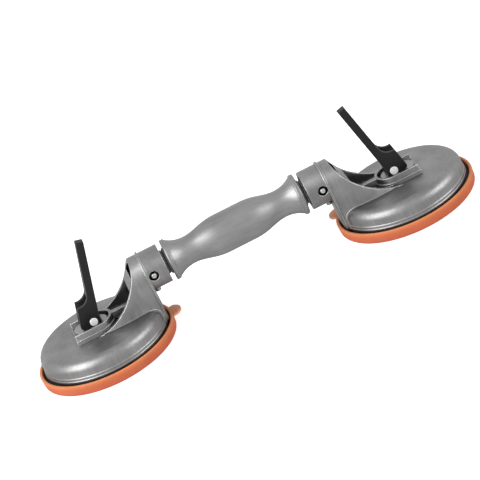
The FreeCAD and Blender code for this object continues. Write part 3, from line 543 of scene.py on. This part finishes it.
def heel_corner(pin, toward, lean, sign):
    """Fills one cheek's heel out to a squarer corner; it has the heel's and the sole's own planes."""
    # the corner's place from the pin, and the filler's size round it
    behind, below = 12.93 * MM, 3.4 * MM
    past, along, height = 1.0 * MM, 11.0 * MM, 10.5 * MM
    cheek_inside, cheek_outside = 4.3 * MM, 8.45 * MM
    # the slope that keeps the filler's far end inside the cheek
    slope_foot, slope_x, slope_z = 10.2 * MM, 0.789, 0.614
    corner = Vector((pin.x - toward * behind, 0, pin.z - below))
    ends = sorted((corner.x - toward * past, corner.x + toward * along))
    sides = sorted((sign * cheek_inside, sign * cheek_outside))
    piece = block((ends[0], sides[0], corner.z), (ends[1], sides[1], corner.z + height))
    bpy.ops.object.mode_set(mode="EDIT")
    cut_away(corner, (-toward * math.cos(lean), 0, math.sin(lean)))
    cut_away((corner.x + toward * slope_foot, 0, corner.z), (toward * slope_x, 0, slope_z))
    touching = 0.05 * MM
    pick(piece, "edges", lambda edge: all(abs(vert.co.x - corner.x) + abs(vert.co.z - corner.z) < touching
                                          for vert in edge.verts))
    bpy.ops.mesh.bevel(offset=4.1 * MM, segments=7, affect="EDGES")
    bpy.ops.object.mode_set(mode="OBJECT")
    return piece


def flip_lever(side, edge):
    """The lever: the CAD shape with a tight scoop behind the arm, a hollow between cheeks, a squarer heel."""
    pin_low, pin_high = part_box(f"{side}_lever_pin")
    pin = (pin_low + pin_high) / 2
    toward = inward(side)
    lean = math.radians(14.2)
    piece = merged_copy(f"{side}_lever", f"{side}_flip_lever")

    def placed(tool):
        """Turns a tool drawn upright about the pin to the lever's lean."""
        tool.rotation_euler = (0, toward * lean, 0)
        tool.location = (pin.x, 0, pin.z)
        only(tool)
        bpy.ops.object.transform_apply(location=True, rotation=True)
        return tool

    def upright(back, front, half, low, high):
        """A block about the pin: from back to front, half each way across, low to high, all in mm."""
        ends = sorted((back * toward * MM, front * toward * MM))
        return placed(block((ends[0], -half * MM, low * MM), (ends[1], half * MM, high * MM)))

    combine(piece, "UNION", *(heel_corner(pin, toward, lean, sign) for sign in (1, -1)))
    # in mm from the pin: how far back the cuts reach, and the scoop's radius, wall, floor and half width
    rear = -16.0
    scoop, wall, floor, half_width = 10.3, -1.5, 14.4, 12.0
    combine(piece, "DIFFERENCE", upright(rear, wall, half_width, floor + scoop, 36.0),
            placed(round_bar(scoop * MM, 2 * half_width * MM,
                             (toward * (wall - scoop) * MM, 0, (floor + scoop) * MM))))
    # the hollow between the cheeks
    combine(piece, "DIFFERENCE", upright(rear, 0.2, 5.6, 7.5, 22.0))
    clean_faces(piece)
    round_edges(piece, edge)
    return piece


def coil_spring(side):
    """The return spring, drawn as a coil at rest, though the rising pad plate presses the real one flat as
    the lever goes down.
    """
    low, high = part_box(f"{side}_return_spring")
    wire, mean, turns = 0.8 * MM, 10.6 * MM, 3
    bpy.ops.object.select_all(action="DESELECT")
    bpy.ops.mesh.primitive_circle_add(vertices=12, radius=wire, location=(mean, 0, 0),
                                      rotation=(math.pi / 2, 0, 0))
    coil = bpy.context.object
    coil.name = coil.data.name = f"{side}_coil_spring"
    bpy.ops.object.transform_apply(location=True, rotation=True)
    apply_modifier(coil, "SCREW", angle=2 * math.pi, iterations=turns, steps=48, render_steps=48,
                   screw_offset=(high.z - low.z - 2 * wire) / turns)
    bpy.ops.object.mode_set(mode="EDIT")
    bpy.ops.mesh.select_all(action="SELECT")
    bpy.ops.mesh.fill_holes(sides=0)
    face_outwards()
    bpy.ops.object.mode_set(mode="OBJECT")
    coil.location = (cup_centre(side).x, 0, low.z + wire)
    settle(coil)
    return coil


# ---------------------------------------------------------------- soft pieces
def rubber_pad(side):
    """The cup's rubber: dished face with four ribs, round edge, bead in the dome's rim, thick middle."""
    low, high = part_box(f"{side}_suction_pad")
    centre = cup_centre(side)
    base = low.z
    # in mm: the edge from the axis, and the bead's top and the backing plate's seat above the base
    reach = (high.x - centre.x) / MM
    bead = (high.z - base) / MM
    seat = (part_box(f"{side}_pad_plate")[0].z - base) / MM
    face, tip = 0.45, 0.05
    rings = [(3.0, 1.0), (14.0, 0.9), (26.0, 0.6), (35.0, face)]
    first_rib, rib_spacing = 38.0, 4.6
    for rib in range(4):
        inner = first_rib + rib_spacing * rib
        rings += [(inner, face), (inner + 0.5, tip), (inner + 1.9, tip), (inner + 2.4, face)]
    # the rounded edge
    rings += [(reach - 1.7, tip), (reach - 0.8, 0.3), (reach - 0.25, 0.9), (reach - 0.05, 1.8),
              (reach - 0.05, 5.3), (reach - 0.25, 5.85), (reach - 0.7, 6.15), (reach - 4.8, 6.15)]
    # the bead, the back of the thin part and the thick middle
    rings += [(reach - 4.8, bead - 0.4), (reach - 5.2, bead - 0.05), (reach - 6.4, bead - 0.05),
              (reach - 6.8, bead - 0.4), (reach - 6.8, 4.6), (reach - 7.3, 4.2), (31.4, 4.2), (30.9, 4.6),
              (30.9, seat - 0.7), (30.4, seat - 0.35), (4.0, seat - 0.35)]
    piece = turned_disc(f"{side}_rubber_cup", centre,
                        [(radius * MM, base + height * MM) for radius, height in rings], 144)
    settle(piece)
    return piece


def pull_tab(side, centre, radius, top, turn):
    """The cover's tab: a lobe cut from a round, drawn back into the wall, with softened edges."""
    # half width, reach past the wall, straight part of that, thickness, and how far it goes into the wall
    half, reach, straight, thick, drawn_back = 9.0 * MM, 8.3 * MM, 3.0 * MM, 2.0 * MM, 4.4 * MM
    bow = reach - straight
    round_radius = (half * half + bow * bow) / (2 * bow)
    bpy.ops.object.select_all(action="DESELECT")
    bpy.ops.mesh.primitive_cylinder_add(vertices=96, radius=round_radius, depth=thick,
                                        location=(radius + reach - round_radius, 0, top - thick / 2))
    tab = bpy.context.object
    bpy.ops.object.transform_apply(location=True)
    bpy.ops.object.mode_set(mode="EDIT")
    bpy.ops.mesh.select_all(action="SELECT")
    place = radius + straight
    bpy.ops.mesh.bisect(plane_co=(place, 0, 0), plane_no=(1, 0, 0), use_fill=True, clear_inner=True)
    pick(tab, "faces", lambda face: (face.normal.x < -0.9
                                     and abs(face.calc_center_median().x - place) < 0.01 * MM))
    bpy.ops.mesh.extrude_region_move(TRANSFORM_OT_translate={"value": (-drawn_back, 0, 0)})
    bpy.ops.object.mode_set(mode="OBJECT")
    apply_modifier(tab, "BEVEL", width=0.6 * MM, segments=3, limit_method="ANGLE",
                   angle_limit=math.radians(40))
    tab.rotation_euler.z = (math.pi if side == "right" else 0.0) + math.radians(turn)
    tab.location = centre
    only(tab)
    bpy.ops.object.transform_apply(location=True, rotation=True)
    return tab


def slip_cover(side, turn):
    """The slip-on cover: a tray with a drafted wall, a rolled rim, rings under its floor and a pull tab."""
    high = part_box(f"{side}_cover")[1]
    centre = cup_centre(side)
    # in mm: the wall's outside from the axis, the rim and the inside of the floor above the ground
    reach = high.y / MM
    rim = high.z / MM
    inside = 1.95
    # two shallow rings under the floor
    rings = [(3.0, 0.0), (17.6, 0.0), (18.0, 0.35), (20.0, 0.35), (20.4, 0.0), (47.6, 0.0), (48.0, 0.35),
             (50.0, 0.35), (50.4, 0.0)]
    # the rounded foot, then the drafted wall
    foot, draft = 2.3, 0.5
    for step in range(6):
        angle = math.radians(18 * step)
        rings.append((reach - draft - foot + foot * math.sin(angle), foot - foot * math.cos(angle)))
    # the rolled rim
    rings += [(reach - 0.05, rim - 1.3), (reach - 0.12, rim - 0.75), (reach - 0.42, rim - 0.28),
              (reach - 0.95, rim - 0.02), (reach - 2.2, rim - 0.02), (reach - 2.65, rim - 0.22),
              (reach - 2.95, rim - 0.7)]
    rings += [(reach - 2.95, 2.6), (reach - 3.15, 2.15), (reach - 3.6, inside), (3.0, inside)]
    cover = turned_disc(f"{side}_slip_cover", centre, scaled(rings), 192)
    combine(cover, "UNION", pull_tab(side, centre, high.y, high.z - 0.6 * MM, turn))
    settle(cover, 40.0)
    return cover


# ---------------------------------------------------------------- settings
class LifterCoverSettings(bpy.types.PropertyGroup):
    """How the covers are turned on their cups."""
    left_turn: bpy.props.FloatProperty(
        name="Left tab", default=2.0,
        description="Turn of the left cover's tab from the handle's line, in degrees")
    right_turn: bpy.props.FloatProperty(
        name="Right tab", default=-28.5,
        description="Turn of the right cover's tab from the handle's line, in degrees")


class LifterEdgeSettings(bpy.types.PropertyGroup):
    """How far edges are rounded."""
    casting: bpy.props.FloatProperty(
        name="Casting edges", default=0.4 * MM, unit="LENGTH",
        description="Rounding of the head castings' edges")
    lever: bpy.props.FloatProperty(
        name="Lever edges", default=0.6 * MM, unit="LENGTH",
        description="Rounding of the levers' edges")


class LifterStudioSettings(bpy.types.PropertyGroup):
    """Where the camera stands."""
    turn: bpy.props.FloatProperty(
        name="View turn", default=-2.16, description="Camera's turn about the object, in degrees")
    tilt: bpy.props.FloatProperty(
        name="View height", default=23.59, description="Camera's height above the horizon, in degrees")
    roll: bpy.props.FloatProperty(
        name="View roll", default=-25.89, description="Camera's roll, in degrees")
    distance: bpy.props.FloatProperty(
        name="Distance", default=2.18729, unit="LENGTH", description="Camera to the object")
    lens: bpy.props.FloatProperty(
        name="Lens", default=195.0, description="Focal length in millimetres")


# ---------------------------------------------------------------- operators
class LIFTER_OT_castings(bpy.types.Operator):
    """Finish the handle and the two head castings"""
    bl_idname = "lifter.castings"
    bl_label = "Castings"

    def execute(self, context):
        # the heads' marks run up and down; the handle has marks along it from polishing, and its tone is
        # painted lighter than the heads' for the light it catches
        aluminium = cast_aluminium("die_cast_aluminium", "#797979", "#919191", (1.0, 1.0, 0.12))
        lengthwise = cast_aluminium("hand_polished_aluminium", "#858585", "#939393", (0.1, 1.0, 1.0))
        dress(aluminium, "handle_casting", *(f"{side}_head_casting" for side in SIDES))
        fit(turned_handle(), lengthwise, "handle", "handle_casting")
        for side in SIDES:
            piece = merged_copy(f"{side}_head_casting", f"{side}_rounded_head")
            round_edges(piece, context.scene.lifter_edges.casting)
            fit(piece, aluminium, f"{side}_head", f"{side}_head_casting")
            fit(back_rim(side), aluminium, f"{side}_head")
            fit(neck_foot(side), aluminium, f"{side}_head")
        return {"FINISHED"}


class LIFTER_OT_steel(bpy.types.Operator):
    """Finish the pins, plates, posts, springs and screws"""
    bl_idname = "lifter.steel"
    bl_label = "Steel pieces"

    def execute(self, context):
        # turned steel gives tight bright glints, rolled sheet an even grey, rivets a pale soft dot and zinc a
        # bluish grey
        turned = rubbed_and_highlit_steel("bright_turned_steel", "#A5A5A4", "#BBBBBA", "#DADAD8", 0.34)
        rolled = rubbed_and_highlit_steel("rolled_stainless_steel", "#8E8E8E", "#A2A2A1", "#C8C8C7", 0.4)
        rivet = rubbed_and_highlit_steel("aluminium_rivet", "#DCDCDC", "#EFEFEF", "#FFFFFF", 0.6, metallic=0.45)
        zinc = rubbed_and_highlit_steel("zinc_plated_steel", "#7F8184", "#999B9D", "#B9BBBD", 0.42)
        finishes = ((turned, ("cross_pin", "pull_post")), (rolled, ("wear_plate", "pad_plate")),
                    (rivet, ("lever_pin", "pin_cap")), (zinc, ("set_screw", "return_spring")))
        for side in SIDES:
            for finish, pieces in finishes:
                dress(finish, *(f"{side}_{piece}" for piece in pieces))
            coil = coil_spring(side)
            fit(coil, zinc, f"{side}_head", f"{side}_return_spring")
            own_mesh(coil)
        return {"FINISHED"}


class LIFTER_OT_levers(bpy.types.Operator):
    """Finish the two flip levers"""
    bl_idname = "lifter.levers"
    bl_label = "Levers"

    def execute(self, context):
        coat = black_powder_coat()
        for side in SIDES:
            dress(coat, f"{side}_lever")
            piece = flip_lever(side, context.scene.lifter_edges.lever)
            fit(piece, coat, f"{side}_lever", f"{side}_lever")
        return {"FINISHED"}


class LIFTER_OT_rubber(bpy.types.Operator):
    """Finish the rubber pads and the bushes"""
    bl_idname = "lifter.rubber"
    bl_label = "Rubber and bushes"

    def execute(self, context):
        rubber = black_rubber()
        acetal = black_acetal()
        for side in SIDES:
            dress(rubber, f"{side}_suction_pad")
            dress(acetal, f"{side}_swivel_bush")
            fit(rubber_pad(side), rubber, f"{side}_head", f"{side}_suction_pad")
        return {"FINISHED"}


class LIFTER_OT_covers(bpy.types.Operator):
    """Finish the covers"""
    bl_idname = "lifter.covers"
    bl_label = "Covers"

    def execute(self, context):
        turns = context.scene.lifter_covers
        for side in SIDES:
            orange = soft_orange(side)
            dress(orange, f"{side}_cover")
            piece = slip_cover(side, getattr(turns, f"{side}_turn"))
            fit(piece, orange, f"{side}_cover", f"{side}_cover")
        return {"FINISHED"}


def area_light(name, place, size, power):
    """A softbox of this size in metres, aimed at the object; its power is in watts."""
    lamp = bpy.data.lights.new(name, "AREA")
    lamp.shape = "RECTANGLE"
    lamp.size, lamp.size_y = size
    lamp.energy = power
    light = put_in_scene(name, lamp)
    light.location = place
    light.rotation_euler = (Vector(LIGHT_CENTRE) - Vector(place)).to_track_quat("-Z", "Y").to_euler()


class LIFTER_OT_studio(bpy.types.Operator):
    """Set up the floor, the light and the camera"""
    bl_idname = "lifter.studio"
    bl_label = "Studio"

    def execute(self, context):
        scene = context.scene
        scene.view_settings.view_transform = "Standard"

        bpy.ops.mesh.primitive_plane_add(size=12.0, location=(0, 0, -0.2 * MM))
        floor = context.object
        floor.name = "floor"
        floor.data.materials.append(self.floor_paint())

        self.light_world(scene)
        area_light("left_softbox", (-1.4, -0.75, 1.0), (1.3, 1.7), 36.0)
        area_light("right_softbox", (1.5, -0.85, 0.8), (1.1, 1.2), 17.0)
        self.place_camera(scene, scene.lifter_studio)
        return {"FINISHED"}

    def light_world(self, scene):
        """A white room: full white where it is seen or mirrored, dimmer as a light."""
        world = bpy.data.worlds.new("studio")
        scene.world = world
        world.use_nodes = True
        tree = world.node_tree
        tree.nodes.clear()
        path = add_node(tree, "ShaderNodeLightPath")
        plain, white = (add_node(tree, "ShaderNodeBackground",
                                 values={"Color": linear("#FFFFFF"), "Strength": strength})
                        for strength in (0.36, 1.0))
        seen = add_node(tree, "ShaderNodeMath", {"operation": "MAXIMUM"},
                        links={0: (path, "Is Camera Ray"), 1: (path, "Is Glossy Ray")})
        mix = add_node(tree, "ShaderNodeMixShader",
                       links={"Fac": (seen, "Value"), 1: (plain, 0), 2: (white, 0)})
        add_node(tree, "ShaderNodeOutputWorld", links={"Surface": (mix, "Shader")})

    def floor_paint(self):
        """White paper sweep: shows white, and only shadows darken it."""
        material = bpy.data.materials.new("white_paper")
        material.use_nodes = True
        tree = material.node_tree
        tree.nodes.clear()
        shader = add_node(tree, "ShaderNodeBsdfDiffuse", values={"Color": linear("#F4F4F4")})
        path = add_node(tree, "ShaderNodeLightPath")
        seen = add_node(tree, "ShaderNodeMath", {"operation": "MULTIPLY"}, {1: 0.66},
                        {0: (path, "Is Camera Ray")})
        mirrored = add_node(tree, "ShaderNodeMath", {"operation": "MULTIPLY_ADD"}, {1: 0.08},
                            {0: (path, "Is Glossy Ray"), 2: (seen, "Value")})
        glow = add_node(tree, "ShaderNodeEmission", values={"Color": linear("#FFFFFF")},
                        links={"Strength": (mirrored, "Value")})
        both = add_node(tree, "ShaderNodeAddShader", links={0: (shader, 0), 1: (glow, 0)})
        add_node(tree, "ShaderNodeOutputMaterial", links={"Surface": (both, "Shader")})
        return material

    def place_camera(self, scene, settings):
        """Stands the camera off the object at its turn, height and roll."""
        turn, tilt, roll = (math.radians(angle) for angle in (settings.turn, settings.tilt, settings.roll))
        back = Vector((math.sin(turn) * math.cos(tilt), -math.cos(turn) * math.cos(tilt), math.sin(tilt)))
        level = (-back).cross(Vector((0, 0, 1))).normalized()
        rise = level.cross(-back)
        across = level * math.cos(roll) + rise * math.sin(roll)
        up = rise * math.cos(roll) - level * math.sin(roll)
        lens = bpy.data.cameras.new("camera")
        lens.lens = settings.lens
        lens.sensor_width = 36.0
        lens.clip_end = 50.0
        camera = put_in_scene("camera", lens)
        turned = Matrix((across, up, back)).transposed().to_4x4()
        place = Vector(VIEW_CENTRE) + back * settings.distance
        camera.matrix_world = Matrix.Translation(place) @ turned
        scene.camera = camera


class LIFTER_PT_panel(bpy.types.Panel):
    """Runs each step and shows its settings"""
    bl_label = "Lifter"
    bl_idname = "LIFTER_PT_panel"
    bl_space_type = "VIEW_3D"
    bl_region_type = "UI"
    bl_category = "Lifter"

    def draw(self, context):
        column = self.layout.column()
        for operator in OPERATORS:
            column.operator(operator.bl_idname)
        for group, settings in SETTINGS:
            for name in settings.__annotations__:
                column.prop(getattr(context.scene, group), name)


OPERATORS = (LIFTER_OT_castings, LIFTER_OT_steel, LIFTER_OT_levers, LIFTER_OT_rubber, LIFTER_OT_covers,
             LIFTER_OT_studio)
SETTINGS = (("lifter_covers", LifterCoverSettings), ("lifter_edges", LifterEdgeSettings),
            ("lifter_studio", LifterStudioSettings))
CLASSES = tuple(settings for _, settings in SETTINGS) + OPERATORS + (LIFTER_PT_panel,)


def register():
    """Registers the classes and gives the scene their settings."""
    for item in CLASSES:
        bpy.utils.register_class(item)
    for group, settings in SETTINGS:
        setattr(bpy.types.Scene, group, bpy.props.PointerProperty(type=settings))


def unregister():
    """Takes back what register did."""
    for group, _ in SETTINGS:
        delattr(bpy.types.Scene, group)
    for item in reversed(CLASSES):
        bpy.utils.unregister_class(item)


def main():
    """Runs every operator."""
    register()
    for operator in OPERATORS:
        group, name = operator.bl_idname.split(".")
        getattr(getattr(bpy.ops, group), name)()


if __name__ == "__main__":
    main()
